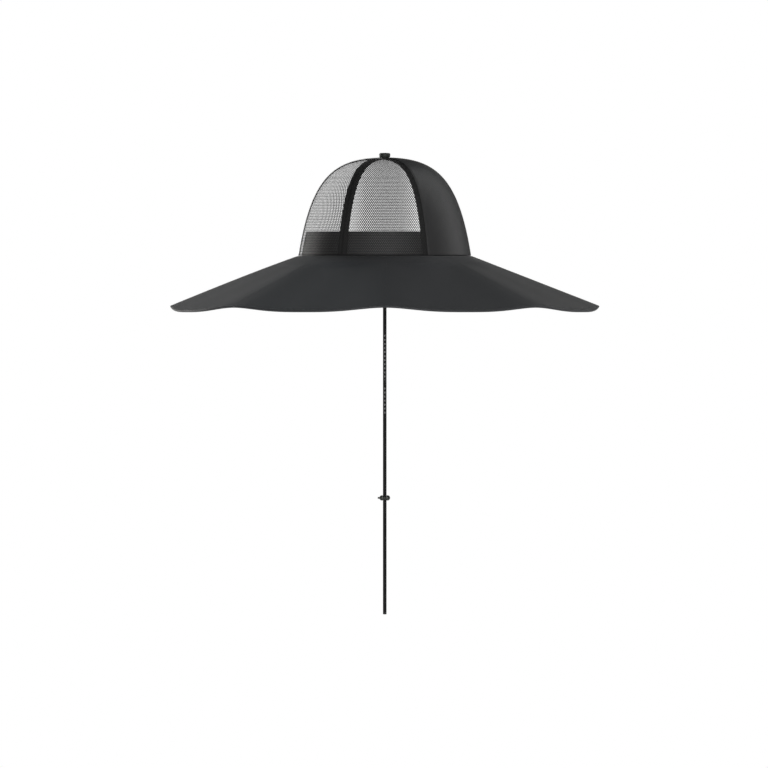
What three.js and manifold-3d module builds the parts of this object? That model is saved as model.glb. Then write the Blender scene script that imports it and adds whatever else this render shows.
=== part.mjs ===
// A wide-brimmed sun hat with a six-panel crown and a chin cord on a spring cord lock.
// Millimetres. +X is the way the wearer looks, +Y is the wearer's left, +Z is up.
// The origin is the middle of the head opening, level with the seam of crown and brim.

import * as THREE from "three";
import Module from "manifold-3d";
import { mergeVertices } from "three/addons/utils/BufferGeometryUtils.js";

const wasm = await Module();
wasm.setup();

// Room between neighbouring pieces
const gap = 0.3;

// How far a cutting block runs past what it cuts
const past = 1;

const barSides = 16;

const crown = {
  halfLength: 105, // middle of the opening to the forehead, outside the cloth
  halfWidth: 88, // and to the ear
  height: 119.4,
  wallLean: 9, // degrees that the wall leans in at its foot
  wallReach: 97.5, // how far up the foot's direction pulls the curve
  topReach: 62.5, // how far out the flat top pulls it
  topHole: 3.3, // half the length of the hole that the six points leave on top
};

const frontCloth = { thick: 1.6, columns: 10, rows: 16 };

// Openings across and up one panel, with the share of the panel that one strand between them takes
const sideNet = { thick: 1, across: 5, up: 6, strandAcross: 0.05, strandUp: 0.035 };

// Degrees round the crown from the forehead towards the wearer's left, and the tape over each first seam
const panels = [
  { name: "front_panel_left", from: 0, to: 60, net: false, tape: "seam_tape_front" },
  { name: "side_mesh_left", from: 60, to: 120, net: true, tape: "seam_tape_front_left" },
  { name: "back_mesh_left", from: 120, to: 180, net: true, tape: "seam_tape_back_left" },
  { name: "back_mesh_right", from: 180, to: 240, net: true, tape: "seam_tape_back" },
  { name: "side_mesh_right", from: 240, to: 300, net: true, tape: "seam_tape_back_right" },
  { name: "front_panel_right", from: 300, to: 360, net: false, tape: "seam_tape_front_right" },
];

const seamTape = { width: 12, thick: 1, topRadius: 7, widestTurn: 28, columns: 2 };

const sweatband = { height: 30, setIn: 3.7, thick: 1.5, columns: 48, rows: 3 };

const brim = {
  lobes: 8,
  width: 157, // crown wall to rim, seen from above
  fall: 60.5, // how far the ridges drop on the way
  lobeSag: 5.5, // how much lower the rim hangs half-way between two ridges
  sagPower: 0.6, // below 1 the lobes form soon after the crown
  ridgePower: 1.5, // above 1 the cloth falls away faster beside a ridge
  cloth: 2.3, // measured plumb
  seamMargin: 0.6, // level cloth outside the crown wall
  columns: 10,
};

// Distances from the crown wall at which the brim's cloth is drawn, from the rim inwards
const brimRows = [brim.width, 150, 120, 85, 50, 20, brim.seamMargin, -sweatband.setIn - sweatband.thick];

const topButton = { radius: 6.9, footRadius: 6.3, height: 5.6, round: 1.6, stemRadius: 2.4, sides: 24 };

const cord = { width: 4.1, thick: 1.5, corner: 0.45, steps: 76, apart: 0.4 };

const cordTab = { width: 10, height: 12, thick: 3, corner: 2, fromWall: -2.5 };

const lock = {
  height: -295.85, // of its middle
  halfLength: 6.5,
  halfHeight: 3.25,
  waist: 2.6, // pull of the slimmer middle
  depth: 9.2,
  edge: 1.2,
  nubLength: 2.2,
  nubRadius: 1.1,
  travel: 1.5, // of the nub when it is pressed in
};

// The sliding frame inside the lock, with the walls round the cord's two runs
const plunger = { nubWall: 0.65, endWall: 0.85, sideWall: 1, halfHeight: 1.7 };

// Where the right-hand half of the chin cord runs, in the plane over the ears: sideways and height
const cordRoute = [
  [-85.5, -15.2],
  [-85.2, -27],
  [-82.4, -46],
  [-75.5, -75],
  [-64.3, -113],
  [-52.3, -151],
  [-39.3, -188],
  [-24.5, -226],
  [-10.5, -259],
  [-3.2, -277],
  [-1.15, -287],
  [-0.95, -296],
  [-1.15, -305],
  [-3.2, -322],
  [-7.6, -348],
  [-11.3, -378],
  [-13.1, -403],
  [-12.9, -422],
  [-9, -433.3],
  [0, -437.05],
];

const colours = {
  cloth: { color: 0x3c3d3f, roughness: 0.7, metalness: 0 },
  net: { color: 0x1a1a1b, roughness: 0.8, metalness: 0 },
  tape: { color: 0x232324, roughness: 0.85, metalness: 0 },
  band: { color: 0x2a2a2b, roughness: 0.85, metalness: 0 },
  button: { color: 0x363a36, roughness: 0.6, metalness: 0 },
  cord: { color: 0x151515, roughness: 0.75, metalness: 0 },
  lock: { color: 0x3b3e3b, roughness: 0.35, metalness: 0 },
};

const degrees = Math.PI / 180;
const narrowing = crown.halfWidth / crown.halfLength;

// The crown's outline from its foot to the top, as radius and height
const crownCurve = new THREE.CubicBezierCurve(
  new THREE.Vector2(crown.halfLength, 0),
  new THREE.Vector2(
    crown.halfLength - crown.wallReach * Math.tan(crown.wallLean * degrees),
    crown.wallReach,
  ),
  new THREE.Vector2(crown.topReach, crown.height),
  new THREE.Vector2(0, crown.height),
);

function named(name, geometry, colour) {
  const mesh = new THREE.Mesh(geometry, new THREE.MeshStandardMaterial(colour));
  mesh.name = name;
  return mesh;
}

function groupOf(...children) {
  const group = new THREE.Group();
  group.add(...children);
  return group;
}

// A wall between an outer (side 0) and an inner (side 1) sheet of points, cut through at open cells
function wallGeometry(columns, rows, pointAt, { ring = false, isOpen = () => false } = {}) {
  const across = ring ? columns : columns + 1;
  const positions = [];
  for (const side of [0, 1]) {
    for (let row = 0; row <= rows; row += 1) {
      for (let column = 0; column < across; column += 1) {
        positions.push(...pointAt(column, row, side).toArray());
      }
    }
  }
  const vertex = (column, row, side) => (side * (rows + 1) + row) * across + (column % across);
  const isCloth = (column, row) => {
    const within = row >= 0 && row < rows && (ring || (column >= 0 && column < columns));
    return within && !isOpen(column, row);
  };
  const faces = [];
  const quad = (a, b, c, d) => faces.push(a, b, c, a, c, d);
  for (let row = 0; row < rows; row += 1) {
    for (let column = 0; column < columns; column += 1) {
      if (!isCloth(column, row)) continue;
      const corners = [[column, row], [column + 1, row], [column + 1, row + 1], [column, row + 1]];
      const outer = corners.map(([c, r]) => vertex(c, r, 0));
      const inner = corners.map(([c, r]) => vertex(c, r, 1));
      const neighbours = [[column, row - 1], [column + 1, row], [column, row + 1], [column - 1, row]];
      quad(...outer);
      quad(...inner.toReversed());
      for (const [edge, neighbour] of neighbours.entries()) {
        const next = (edge + 1) % 4;
        if (!isCloth(...neighbour)) quad(outer[next], outer[edge], inner[edge], inner[next]);
      }
    }
  }
  const geometry = new THREE.BufferGeometry();
  geometry.setAttribute("position", new THREE.Float32BufferAttribute(positions, 3));
  geometry.setIndex(faces);
  geometry.computeVertexNormals();
  return geometry;
}

// How far along the crown's curve a test first holds, from 0 at the foot to 1 on top
function crownTime(holds) {
  let low = 0;
  let high = 1;
  for (let halving = 0; halving < 40; halving += 1) {
    const middle = (low + high) / 2;
    if (holds(crownCurve.getPoint(middle))) high = middle;
    else low = middle;
  }
  return high;
}

// A point at a depth under the crown's outer face, with its foot cut off level
function crownPoint(angle, time, depth) {
  const outline = crownCurve.getPoint(time);
  const slope = crownCurve.getTangent(time);
  const [cos, sin] = [Math.cos(angle), Math.sin(angle)];
  const outwards = new THREE.Vector3(narrowing * cos * slope.y, sin * slope.y, -narrowing * slope.x);
  const point = new THREE.Vector3(outline.x * cos, narrowing * outline.x * sin, outline.y);
  point.addScaledVector(outwards.normalize(), -depth);
  point.z = Math.max(point.z, 0);
  return point;
}

// The turn round the crown that a sideways distance on the cloth takes
function turnFor(distance, angle, time) {
  const { x: radius } = crownCurve.getPoint(time);
  return distance / (radius * Math.hypot(Math.sin(angle), narrowing * Math.cos(angle)));
}

// Where a net's line lies: even cells are strands and odd cells are openings
function netLine(index, openings, strand) {
  const opening = (1 - (openings + 1) * strand) / openings;
  return Math.ceil(index / 2) * strand + Math.floor(index / 2) * opening;
}

function panelGeometry({ from, to, net }) {
  const topTime = crownTime((point) => point.x <= crown.topHole);
  const thick = net ? sideNet.thick : frontCloth.thick;
  const columns = net ? 2 * sideNet.across + 1 : frontCloth.columns;
  const rows = net ? 2 * sideNet.up + 1 : frontCloth.rows;
  const across = (column) => (
    net ? netLine(column, sideNet.across, sideNet.strandAcross) : column / columns
  );
  const up = (row) => (net ? netLine(row, sideNet.up, sideNet.strandUp) : row / rows);
  const pointAt = (column, row, side) => {
    const time = up(row) * topTime;
    const start = from * degrees + turnFor(gap / 2, from * degrees, time);
    const end = to * degrees - turnFor(gap / 2, to * degrees, time);
    return crownPoint(THREE.MathUtils.lerp(start, end, across(column)), time, side * thick);
  };
  const isOpen = (column, row) => net && column % 2 === 1 && row % 2 === 1;
  return wallGeometry(columns, rows, pointAt, { isOpen });
}

function makePanels() {
  return panels.map((panel) => {
    const colour = panel.net ? colours.net : colours.cloth;
    return named(panel.name, panelGeometry(panel), colour);
  });
}

// A strip sewn over a seam inside the crown, narrower where the six strips crowd together on top
function tapeGeometry(seam) {
  const topTime = crownTime((point) => point.x <= seamTape.topRadius);
  const outerDepth = frontCloth.thick + gap;
  const pointAt = (column, row, side) => {
    const time = (row / frontCloth.rows) * topTime;
    const turn = Math.min(turnFor(seamTape.width / 2, seam, time), seamTape.widestTurn * degrees);
    const angle = seam + turn * ((2 * column) / seamTape.columns - 1);
    return crownPoint(angle, time, outerDepth + side * seamTape.thick);
  };
  return wallGeometry(seamTape.columns, frontCloth.rows, pointAt);
}

function makeTapes() {
  return panels.map(({ from, tape }) => named(tape, tapeGeometry(from * degrees), colours.tape));
}

// The band round the head stands a little inside the crown wall
function makeSweatband() {
  const topTime = crownTime((point) => point.y >= sweatband.height);
  const pointAt = (column, row, side) => crownPoint(
    (column / sweatband.columns) * 2 * Math.PI,
    (row / sweatband.rows) * topTime,
    sweatband.setIn + side * sweatband.thick,
  );
  const geometry = wallGeometry(sweatband.columns, sweatband.rows, pointAt, { ring: true });
  return named("sweatband", geometry, colours.band);
}

// A cloth-covered disc on top of the crown, with its stem down the hole between the panels
function makeButton() {
  const foot = crown.height + gap;
  const top = foot + topButton.height;
  const outline = new THREE.Path();
  outline.moveTo(0, crown.height - frontCloth.thick);
  outline.lineTo(topButton.stemRadius, crown.height - frontCloth.thick);
  outline.lineTo(topButton.stemRadius, foot);
  outline.lineTo(topButton.footRadius, foot);
  outline.lineTo(topButton.radius, top - topButton.round);
  outline.quadraticCurveTo(topButton.radius, top, topButton.radius - topButton.round, top);
  outline.lineTo(0, top);
  const geometry = new THREE.LatheGeometry(outline.getPoints(4), topButton.sides);
  geometry.rotateX(90 * degrees);
  return named("top_button", geometry, colours.button);
}

// How far the rim sags, from 0 on a ridge to 1 half-way to the next
function lobeShape(angle) {
  const lobe = (2 * Math.PI) / brim.lobes;
  const fromRidge = Math.abs(angle - Math.round(angle / lobe) * lobe) / (lobe / 2);
  return Math.sin((Math.PI / 2) * (1 - (1 - fromRidge) ** brim.ridgePower)) ** 2;
}

// A point on the brim's upper face, or below it by its cloth
function brimPoint(angle, distance, side) {
  const beyond = Math.max(distance - brim.seamMargin, 0) / (brim.width - brim.seamMargin);
  const fall = brim.fall * beyond + brim.lobeSag * beyond ** brim.sagPower * lobeShape(angle);
  return new THREE.Vector3(
    (crown.halfLength + distance) * Math.cos(angle),
    (crown.halfWidth + distance) * Math.sin(angle),
    -gap - fall - side * brim.cloth,
  );
}

function goreGeometry(start, end) {
  const pointAt = (column, row, side) => {
    const distance = brimRows[row];
    const inset = gap / 2 / (crown.halfWidth + distance);
    const angle = THREE.MathUtils.lerp(start + inset, end - inset, column / brim.columns);
    return brimPoint(angle, distance, side);
  };
  return wallGeometry(brim.columns, brimRows.length - 1, pointAt);
}

function makeBrim() {
  const turn = (2 * Math.PI) / brim.lobes;
  const numbers = Array.from({ length: brim.lobes }, (_, index) => index);
  return numbers.map((index) => named(
    `brim_gore_${index + 1}`,
    goreGeometry(index * turn, (index + 1) * turn),
    colours.cloth,
  ));
}

function solidFrom(geometry) {
  const bare = geometry.clone();
  bare.deleteAttribute("normal");
  bare.deleteAttribute("uv");
  const merged = mergeVertices(bare, 1e-4);
  return new wasm.Manifold(new wasm.Mesh({
    numProp: 3,
    vertProperties: new Float32Array(merged.attributes.position.array),
    triVerts: new Uint32Array(merged.index.array),
  }));
}

function geometryFrom(solid) {
  const { vertProperties, triVerts } = solid.getMesh();
  const geometry = new THREE.BufferGeometry();
  geometry.setAttribute("position", new THREE.BufferAttribute(vertProperties, 3));
  geometry.setIndex(new THREE.BufferAttribute(triVerts, 1));
  geometry.computeVertexNormals();
  return geometry;
}

// A block between two corners
function block(low, high) {
  const size = high.map((value, axis) => value - low[axis]);
  const middle = high.map((value, axis) => (value + low[axis]) / 2);
  return solidFrom(new THREE.BoxGeometry(...size).translate(...middle));
}

// A round bar along X
function barAlongX(radius, from, to) {
  const bar = new THREE.CylinderGeometry(radius, radius, to - from, barSides);
  return solidFrom(bar.rotateZ(90 * degrees).translate((from + to) / 2, 0, 0));
}

function roundedOblong(width, height, corner) {
  const [right, top] = [width / 2, height / 2];
  const shape = new THREE.Shape();
  shape.moveTo(corner - right, -top);
  shape.lineTo(right - corner, -top);
  shape.quadraticCurveTo(right, -top, right, corner - top);
  shape.lineTo(right, top - corner);
  shape.quadraticCurveTo(right, top, right - corner, top);
  shape.lineTo(corner - right, top);
  shape.quadraticCurveTo(-right, top, -right, top - corner);
  shape.lineTo(-right, corner - top);
  shape.quadraticCurveTo(-right, -top, corner - right, -top);
  return shape;
}

// One flat cord from the right-hand tab down through the lock, round its loop and up to the left-hand tab
function makeCord() {
  const right = cordRoute.map(([sideways, height]) => new THREE.Vector3(0, sideways, height));
  const left = right.slice(0, -1).reverse().map(({ y, z }) => new THREE.Vector3(0, -y, z));
  const path = new THREE.CatmullRomCurve3([...right, ...left]);
  const section = roundedOblong(cord.width, cord.thick, cord.corner);
  const options = { steps: cord.steps, extrudePath: path, curveSegments: 1 };
  return named("chin_cord", new THREE.ExtrudeGeometry(section, options), colours.cord);
}

// A folded tab under the brim's seam margin that each end of the cord is sewn into
function makeCordTab(name, side) {
  const section = roundedOblong(cordTab.width, cordTab.height, cordTab.corner);
  const options = { depth: cordTab.thick, bevelEnabled: false, curveSegments: 3 };
  const geometry = new THREE.ExtrudeGeometry(section, options);
  geometry.translate(0, 0, -cordTab.thick / 2);
  geometry.rotateX(90 * degrees);
  const tab = named(name, geometry, colours.tape);
  const top = -gap - brim.cloth - gap;
  tab.position.set(0, side * (crown.halfWidth + cordTab.fromWall), top - cordTab.height / 2);
  return tab;
}

// Half the room that the two runs of cord take side by side, gap included
const cordRoom = { x: cord.width / 2 + gap, y: cord.apart / 2 + cord.thick + gap };

const plungerEnds = {
  left: -cordRoom.x - lock.travel - plunger.nubWall,
  right: cordRoom.x + plunger.endWall,
  side: cordRoom.y + plunger.sideWall,
};

function makeLockBody() {
  const middle = lock.halfLength - lock.halfHeight;
  const outline = new THREE.Shape();
  outline.absarc(-middle, 0, lock.halfHeight, 90 * degrees, 270 * degrees, false);
  outline.quadraticCurveTo(0, -lock.waist, middle, -lock.halfHeight);
  outline.absarc(middle, 0, lock.halfHeight, -90 * degrees, 90 * degrees, false);
  outline.quadraticCurveTo(0, lock.waist, -middle, lock.halfHeight);
  const shell = new THREE.ExtrudeGeometry(outline, {
    depth: lock.depth - 2 * lock.edge,
    bevelThickness: lock.edge,
    bevelSize: lock.edge,
    bevelOffset: -lock.edge,
    bevelSegments: 2,
    curveSegments: 8,
  });
  shell.translate(0, 0, lock.edge - lock.depth / 2);
  shell.rotateX(90 * degrees);
  const cordWay = block(
    [-cordRoom.x, -cordRoom.y, -lock.halfHeight - past],
    [cordRoom.x, cordRoom.y, lock.halfHeight + past],
  );
  const plungerWay = block(
    [plungerEnds.left - gap, -plungerEnds.side - gap, -plunger.halfHeight - gap],
    [plungerEnds.right + lock.travel + gap, plungerEnds.side + gap, plunger.halfHeight + gap],
  );
  const nubWay = barAlongX(lock.nubRadius + gap, -lock.halfLength - past, 0);
  const body = solidFrom(shell).subtract(cordWay).subtract(plungerWay).subtract(nubWay);
  return named("cord_lock_body", geometryFrom(body), colours.lock);
}

function makeLockButton() {
  const frame = block(
    [plungerEnds.left, -plungerEnds.side, -plunger.halfHeight],
    [plungerEnds.right, plungerEnds.side, plunger.halfHeight],
  );
  const cordWay = block(
    [-cordRoom.x - lock.travel, -cordRoom.y, -plunger.halfHeight - past],
    [cordRoom.x, cordRoom.y, plunger.halfHeight + past],
  );
  const nubTip = -lock.halfLength - lock.nubLength;
  const nub = barAlongX(lock.nubRadius, nubTip, plungerEnds.left + plunger.nubWall / 2);
  return named("cord_lock_button", geometryFrom(frame.subtract(cordWay).add(nub)), colours.lock);
}

const crownGroup = groupOf(...makePanels(), ...makeTapes(), makeSweatband(), makeButton());
const brimGroup = groupOf(...makeBrim());
const tabGroup = groupOf(makeCordTab("cord_tab_left", 1), makeCordTab("cord_tab_right", -1));
const lockGroup = groupOf(makeLockBody(), makeLockButton());
lockGroup.position.z = lock.height;
const hat = groupOf(crownGroup, brimGroup, tabGroup, lockGroup, makeCord());

export default hat;
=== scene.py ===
import math

import bmesh
import bpy
import numpy as np
from mathutils import Matrix, Vector


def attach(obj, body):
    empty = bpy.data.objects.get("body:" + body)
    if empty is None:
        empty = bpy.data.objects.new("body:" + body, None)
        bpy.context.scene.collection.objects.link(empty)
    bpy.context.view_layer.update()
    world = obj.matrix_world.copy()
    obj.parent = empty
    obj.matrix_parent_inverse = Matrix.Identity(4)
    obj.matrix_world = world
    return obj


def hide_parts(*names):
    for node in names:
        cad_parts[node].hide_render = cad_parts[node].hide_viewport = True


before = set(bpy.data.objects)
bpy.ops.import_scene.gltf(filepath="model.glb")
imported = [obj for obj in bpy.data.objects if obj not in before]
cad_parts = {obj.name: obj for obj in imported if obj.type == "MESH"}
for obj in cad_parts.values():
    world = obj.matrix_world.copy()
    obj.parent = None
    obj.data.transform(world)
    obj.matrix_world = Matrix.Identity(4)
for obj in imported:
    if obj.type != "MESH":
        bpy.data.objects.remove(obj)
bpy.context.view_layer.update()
print("frame loaded")

scene = bpy.context.scene
fullTurn = 2 * math.pi

# How the photograph is framed: its size, its scale, and the column and row of the hat's own zero
photo = {"pixels": 768, "metresPerPixel": 0.00122, "middleColumn": 384.75, "seamRow": 255.6}


def placeCamera():
    lens = bpy.data.cameras.new("sideCamera")
    lens.type = "ORTHO"
    lens.ortho_scale = photo["pixels"] * photo["metresPerPixel"]
    camera = bpy.data.objects.new("sideCamera", lens)
    across = (photo["pixels"] / 2 - photo["middleColumn"]) * photo["metresPerPixel"]
    up = (photo["seamRow"] - photo["pixels"] / 2) * photo["metresPerPixel"]
    camera.location = (across, -3, up)
    camera.rotation_euler = (math.radians(90), 0, 0)
    scene.collection.objects.link(camera)
    scene.camera = camera


placeCamera()
print("camera placed")


# Small helpers for every piece

def shapedGrid(columns, rows, spot, cloth, closed=False, rounded=""):
    # a grid whose squares are laid out by spot(across, up), with the flat cloth's own metres as its UVs
    bm = bmesh.new()
    bmesh.ops.create_grid(bm, x_segments=columns, y_segments=rows, size=0.5)
    layer = bm.loops.layers.uv.new("cloth")
    weight = bm.edges.layers.float.new("bevel_weight_edge")
    shares = {vertex: (vertex.co.x + 0.5, vertex.co.y + 0.5) for vertex in bm.verts}
    for face in bm.faces:
        for loop in face.loops:
            loop[layer].uv = cloth(*shares[loop.vert])
    for edge in bm.edges:
        acrosses, ups = zip(*(shares[vertex] for vertex in edge.verts))
        onSide = max(acrosses) < 0.001 or min(acrosses) > 0.999
        onFoot, onTop = max(ups) < 0.001, min(ups) > 0.999
        marks = {"sides": onSide, "foot": onFoot, "top": onTop}
        edge[weight] = float(any(marks[place] for place in rounded.split()))
        edge.smooth = closed or not onSide or edge[weight] > 0
    for vertex, (across, up) in shares.items():
        vertex.co = spot(across, up)
    if closed:
        bmesh.ops.remove_doubles(bm, verts=bm.verts, dist=1e-7)
    return bm


def joinInto(bm, part):
    mesh = bpy.data.meshes.new("part")
    part.to_mesh(mesh)
    part.free()
    bm.from_mesh(mesh)
    bpy.data.meshes.remove(mesh)


def makePiece(name, bm, material, nodes=(), body="hat", smooth=True):
    mesh = bpy.data.meshes.new(name)
    bm.to_mesh(mesh)
    bm.free()
    mesh.materials.append(material)
    mesh.polygons.foreach_set("use_smooth", [smooth] * len(mesh.polygons))
    piece = bpy.data.objects.new(name, mesh)
    scene.collection.objects.link(piece)
    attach(piece, body)
    if nodes:
        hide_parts(*nodes)
    return piece


def thicken(piece, thick, edge):
    # the cloth grows inwards from its outer face, and its marked edges are rounded
    wall = piece.modifiers.new("wall", "SOLIDIFY")
    wall.thickness = thick
    wall.offset = -1
    wall.use_even_offset = True
    rounding = piece.modifiers.new("rounding", "BEVEL")
    rounding.width = edge
    rounding.segments = 2
    rounding.limit_method = "WEIGHT"
    rounding.harden_normals = True


def stitchesAlong(path, stitch):
    # path: places and outward directions close together along a seam; gives one matrix for each stitch
    places = np.array([place for place, outward in path])
    lengths = np.concatenate([[0], np.cumsum(np.linalg.norm(np.diff(places, axis=0), axis=1))])
    count = max(int(lengths[-1] / stitch["pitch"]), 2)
    size = Matrix.Diagonal((stitch["length"] / 2, stitch["width"] / 2, stitch["rise"], 1))
    matrices = []
    for index in range(count):
        middle = (index + 0.5) * lengths[-1] / count
        before = max(int(np.searchsorted(lengths, middle)) - 1, 0)
        share = (middle - lengths[before]) / (lengths[before + 1] - lengths[before])
        (first, outward), (second, _) = path[before], path[before + 1]
        sideways = outward.cross(second - first).normalized()
        forwards = sideways.cross(outward).normalized()
        turn = Matrix((forwards, sideways, outward.normalized())).transposed().to_4x4()
        matrices.append(Matrix.Translation(first.lerp(second, share)) @ turn @ size)
    return matrices


def sewStitches(matrices):
    # one bead is doubled until there are enough, each 4 m from the last, and then each goes to its own place
    bm = bmesh.new()
    bmesh.ops.create_uvsphere(bm, u_segments=6, v_segments=4, radius=1)
    count = 1
    while count < len(matrices):
        copy = bmesh.ops.duplicate(bm, geom=list(bm.verts) + list(bm.edges) + list(bm.faces))["geom"]
        moved = [part for part in copy if isinstance(part, bmesh.types.BMVert)]
        bmesh.ops.translate(bm, verts=moved, vec=(4 * count, 0, 0))
        count *= 2
    spare = [vertex for vertex in bm.verts if round(vertex.co.x / 4) >= len(matrices)]
    bmesh.ops.delete(bm, geom=spare, context="VERTS")
    for vertex in bm.verts:
        number = round(vertex.co.x / 4)
        vertex.co = matrices[number] @ (vertex.co - Vector((4 * number, 0, 0)))
    return bm


# Materials

def newMaterial(name):
    material = bpy.data.materials.new(name)
    material.use_nodes = True
    return material, material.node_tree, material.node_tree.nodes["Principled BSDF"]


def addNode(tree, kind, **settings):
    node = tree.nodes.new(kind)
    for name, value in settings.items():
        setattr(node, name, value)
    return node


def feed(tree, socket, value):
    if isinstance(value, bpy.types.NodeSocket):
        tree.links.new(value, socket)
    else:
        socket.default_value = value


def maths(tree, operation, first, second=0.0):
    node = addNode(tree, "ShaderNodeMath", operation=operation)
    feed(tree, node.inputs[0], first)
    feed(tree, node.inputs[1], second)
    return node.outputs[0]


def noise(tree, coordinates, scale, detail=2.0):
    node = addNode(tree, "ShaderNodeTexNoise")
    feed(tree, node.inputs["Vector"], coordinates)
    node.inputs["Scale"].default_value = scale
    node.inputs["Detail"].default_value = detail
    return node.outputs["Fac"]


def blend(tree, share, first, second):
    node = addNode(tree, "ShaderNodeMix", data_type="RGBA")
    feed(tree, node.inputs["Factor"], share)
    for socket, colour in zip([s for s in node.inputs if s.type == "RGBA"], (first, second)):
        feed(tree, socket, colour if isinstance(colour, bpy.types.NodeSocket) else (*colour, 1))
    return [s for s in node.outputs if s.type == "RGBA"][0]


def bump(tree, height, depth):
    node = addNode(tree, "ShaderNodeBump")
    node.inputs["Strength"].default_value = 1
    node.inputs["Distance"].default_value = depth
    feed(tree, node.inputs["Height"], height)
    return node.outputs["Normal"]


def weaveHeight(tree, across, along, finish):
    # plain weave is a product of two waves, twill is one slanting wave
    warp = maths(tree, "SINE", maths(tree, "MULTIPLY", across, math.pi / finish["pitch"]))
    weft = maths(tree, "SINE", maths(tree, "MULTIPLY", along, math.pi / finish["pitch"]))
    if finish["weave"] == "plain":
        return maths(tree, "MULTIPLY", warp, weft)
    slant = maths(tree, "ADD", across, maths(tree, "MULTIPLY", along, 0.6))
    twill = maths(tree, "SINE", maths(tree, "MULTIPLY", slant, fullTurn / finish["pitch"]))
    return maths(tree, "ADD", twill, maths(tree, "MULTIPLY", warp, 0.3))


def clothMaterial(name, finish):
    material, tree, shader = newMaterial(name)
    coordinates = addNode(tree, "ShaderNodeTexCoord")
    parts = addNode(tree, "ShaderNodeSeparateXYZ")
    tree.links.new(coordinates.outputs[finish["follows"]], parts.inputs[0])
    weave = weaveHeight(tree, parts.outputs[0], parts.outputs[1], finish)
    cloudy = noise(tree, coordinates.outputs["Object"], finish["cloudScale"])
    slubs = noise(tree, coordinates.outputs[finish["follows"]], finish["slubScale"], 3.0)
    shade = maths(tree, "ADD", maths(tree, "MULTIPLY", cloudy, 0.6), maths(tree, "MULTIPLY", slubs, 0.4))
    colour = blend(tree, shade, finish["dark"], finish["light"])
    tree.links.new(colour, shader.inputs["Base Color"])
    rough = maths(tree, "ADD", maths(tree, "MULTIPLY", slubs, 0.12), finish["roughness"] - 0.06)
    tree.links.new(rough, shader.inputs["Roughness"])
    height = maths(tree, "ADD", weave, maths(tree, "MULTIPLY", slubs, finish["slubs"]))
    tree.links.new(bump(tree, height, finish["bump"]), shader.inputs["Normal"])
    shader.inputs["Specular IOR Level"].default_value = finish["gloss"]
    shader.inputs["Sheen Weight"].default_value = finish["sheen"]
    shader.inputs["Sheen Roughness"].default_value = 0.4
    shader.inputs["Sheen Tint"].default_value = (*finish["sheenTint"], 1)
    return material


def plainFinish(**changes):
    finish = {
        "dark": (0.03, 0.03, 0.031), "light": (0.04, 0.04, 0.042), "roughness": 0.6, "gloss": 0.4,
        "sheen": 0.1, "sheenTint": (1, 1, 1), "weave": "plain", "pitch": 0.0004, "bump": 0.00003,
        "slubs": 0.5, "cloudScale": 18, "slubScale": 900, "follows": "UV",
    }
    finish.update(changes)
    return finish


frontCloth = clothMaterial("frontCloth", plainFinish(
    dark=(0.034, 0.034, 0.035), light=(0.042, 0.042, 0.043), roughness=0.42, gloss=0.5, sheen=0.05,
))
brimCloth = clothMaterial("brimCloth", plainFinish(
    dark=(0.03, 0.032, 0.035), light=(0.037, 0.039, 0.043), roughness=0.48, gloss=0.5, sheen=0.1,
    pitch=0.0005,
))
netYarn = clothMaterial("netYarn", plainFinish(
    dark=(0.008, 0.008, 0.008), light=(0.014, 0.014, 0.014), roughness=0.6, gloss=0.3, sheen=0.05,
    weave="twill", pitch=0.00025,
))
tapeTwill = clothMaterial("tapeTwill", plainFinish(
    dark=(0.028, 0.028, 0.028), light=(0.04, 0.04, 0.04), roughness=0.65, gloss=0.35, sheen=0.1,
    weave="twill", pitch=0.0007, bump=0.00006,
))
bandCloth = clothMaterial("bandCloth", plainFinish(
    dark=(0.08, 0.08, 0.081), light=(0.11, 0.11, 0.112), roughness=0.42, gloss=0.7, sheen=0.2,
    pitch=0.0006, bump=0.00005,
))
buttonCloth = clothMaterial("buttonCloth", plainFinish(
    dark=(0.03, 0.036, 0.031), light=(0.04, 0.047, 0.041), roughness=0.5, gloss=0.4,
))
thread = clothMaterial("thread", plainFinish(
    dark=(0.028, 0.028, 0.029), light=(0.042, 0.042, 0.044), roughness=0.5, gloss=0.4, weave="twill",
    pitch=0.0003, follows="Object",
))
print("cloth materials ready")

# The chin cord's half route in its plane over the ears, from the right-hand tab to the loop's bottom
cordRoute = [
    (-0.0855, -0.0152), (-0.0852, -0.027), (-0.0824, -0.046), (-0.0755, -0.075), (-0.0643, -0.113),
    (-0.0523, -0.151), (-0.0393, -0.188), (-0.0245, -0.226), (-0.0105, -0.259), (-0.0032, -0.277),
    (-0.00115, -0.287), (-0.00095, -0.296), (-0.00115, -0.305), (-0.0032, -0.322), (-0.0076, -0.348),
    (-0.0113, -0.378), (-0.0131, -0.403), (-0.0129, -0.422), (-0.009, -0.4333), (0, -0.43705),
]

chinCord = {
    "width": 0.0044, "thick": 0.0015, "rings": 560, "sides": 20, "corner": 3.0,
    "dark": (0.0035, 0.0035, 0.0035), "light": (0.008, 0.008, 0.008), "mark": (0.18, 0.18, 0.18),
    "braid": 0.0012, "ribSlant": 1.2, "ribShade": 0.3, "fuzzScale": 1200,
    "bump": 0.00004, "roughness": 0.7, "gloss": 0.3, "sheen": 0.05,
    "marks": ((0.095, 0.152), (0.16, 0.193)),  # heights under the seam between which the woven dashes lie
    "markPitch": 0.0052, "markLength": 0.0022, "markWidth": 0.0018,
}


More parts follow.
